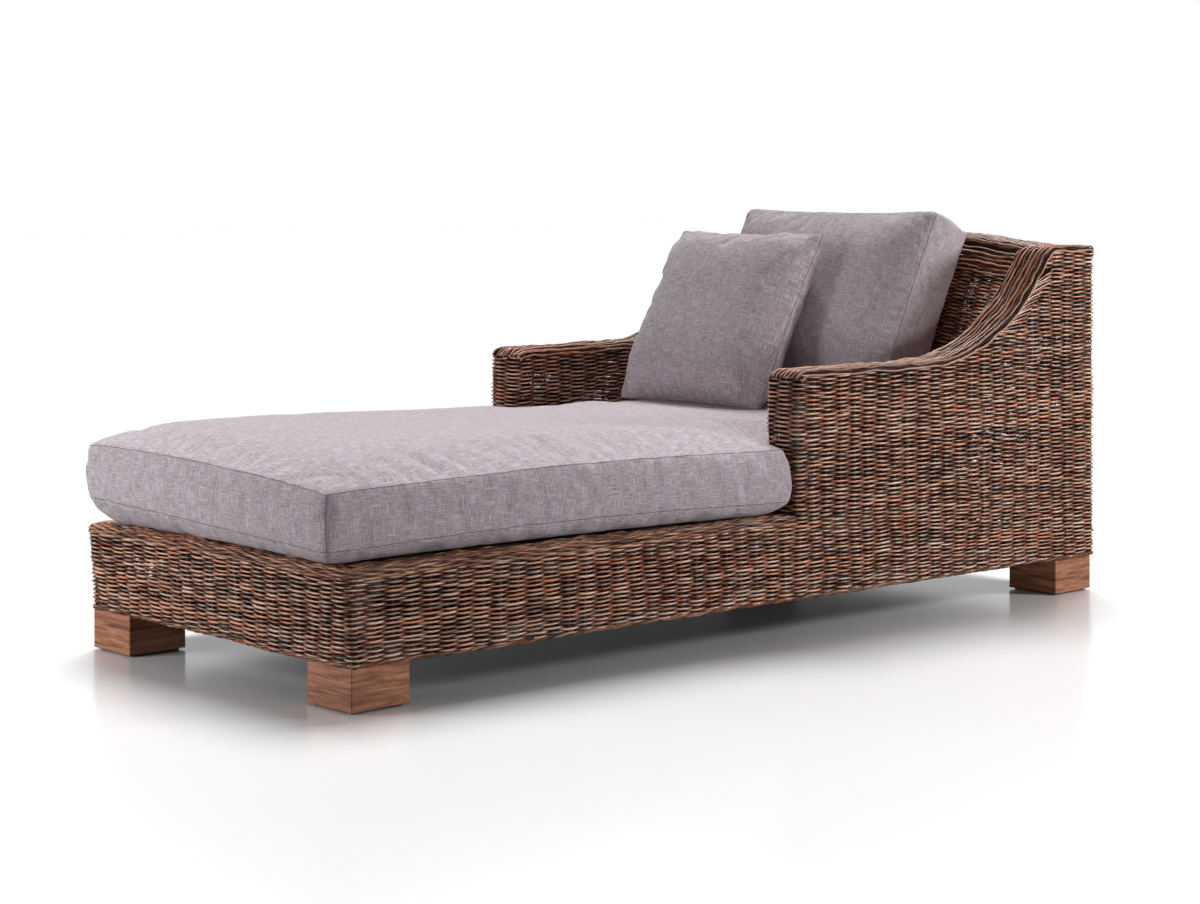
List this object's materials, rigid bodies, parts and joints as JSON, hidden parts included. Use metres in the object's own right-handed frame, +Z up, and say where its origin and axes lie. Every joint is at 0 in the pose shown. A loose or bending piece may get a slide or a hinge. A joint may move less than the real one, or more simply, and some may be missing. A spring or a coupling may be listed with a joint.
{
  "type": "woven sun lounger",
  "caption": "Long woven-reed sun lounger on block feet, with low arms sweeping up to a reclined back, a T-shaped seat cushion, a back cushion and a throw pillow.",
  "frame": {"origin": "centre of the footprint, on the floor", "axes": "+Z up, +Y along the lounger from the foot end to the head, +X to the right seen from the foot end"},
  "size_m": [1.032, 2.033, 0.8423],
  "materials": {
    "dark_wood": "stained hardwood, satin",
    "frame_timber": "planed softwood, plain",
    "rattan_pole": "peeled rattan, matte",
    "woven_reed": "dark stained round reed in plain weave, satin",
    "glide_plastic": "matte black",
    "steel": "zinc plated",
    "linen_cover": "grey-mauve slub linen",
    "filling": "soft off-white filling"
  },
  "bodies": {
    "frame": {"foot_front_left": "dark_wood", "foot_front_right": "dark_wood", "foot_rear_left": "dark_wood", "foot_rear_right": "dark_wood", "front_post_left": "frame_timber", "front_post_right": "frame_timber", "rear_post_left": "frame_timber", "rear_post_right": "frame_timber", "arm_post_left": "frame_timber", "arm_post_right": "frame_timber", "side_rail_lower_left": "frame_timber", "side_rail_lower_right": "frame_timber", "side_rail_upper_left": "frame_timber", "side_rail_upper_right": "frame_timber", "front_rail_lower": "frame_timber", "front_rail_upper": "frame_timber", "rear_rail": "frame_timber", "head_rail": "frame_timber", "slat_ledger_left": "frame_timber", "slat_ledger_right": "frame_timber", "centre_beam": "frame_timber", "deck_slat_1": "frame_timber", "deck_slat_2": "frame_timber", "deck_slat_3": "frame_timber", "deck_slat_4": "frame_timber", "deck_slat_5": "frame_timber", "deck_slat_6": "frame_timber", "deck_slat_7": "frame_timber", "deck_slat_8": "frame_timber", "back_strut_left": "frame_timber", "back_strut_middle": "frame_timber", "back_strut_right": "frame_timber", "crest_board": "frame_timber", "arm_pole_left": "rattan_pole", "arm_pole_right": "rattan_pole", "side_weave_left": "woven_reed", "side_weave_right": "woven_reed", "front_weave": "woven_reed", "back_outer_weave": "woven_reed", "back_inner_weave": "woven_reed", "arm_inner_weave_left": "woven_reed", "arm_inner_weave_right": "woven_reed", "arm_cap_left": "woven_reed", "arm_cap_right": "woven_reed", "back_cap": "woven_reed", "rim_left": "woven_reed", "rim_right": "woven_reed", "rim_front": "woven_reed", "glide_front_left": "glide_plastic", "glide_front_right": "glide_plastic", "glide_rear_left": "glide_plastic", "glide_rear_right": "glide_plastic", "foot_bolts": "steel", "slat_screws": "steel"},
    "seat_cushion": {"seat_cushion_cover": "linen_cover", "seat_cushion_filling": "filling"},
    "back_cushion": {"back_cushion_cover": "linen_cover", "back_cushion_filling": "filling"},
    "throw_pillow": {"throw_pillow_cover": "linen_cover", "throw_pillow_filling": "filling"}
  },
  "joints": [
    {"name": "seat_cushion_lift", "type": "slide", "parent": "frame", "child": "seat_cushion", "axis": [0, 0, 1], "range_m": [0, 0.35]},
    {"name": "back_cushion_lift", "type": "slide", "parent": "seat_cushion", "child": "back_cushion", "axis": [0, 0, 1], "range_m": [0, 0.45]},
    {"name": "throw_pillow_lift", "type": "slide", "parent": "back_cushion", "child": "throw_pillow", "axis": [0, 0, 1], "range_m": [0, 0.45]}
  ]
}
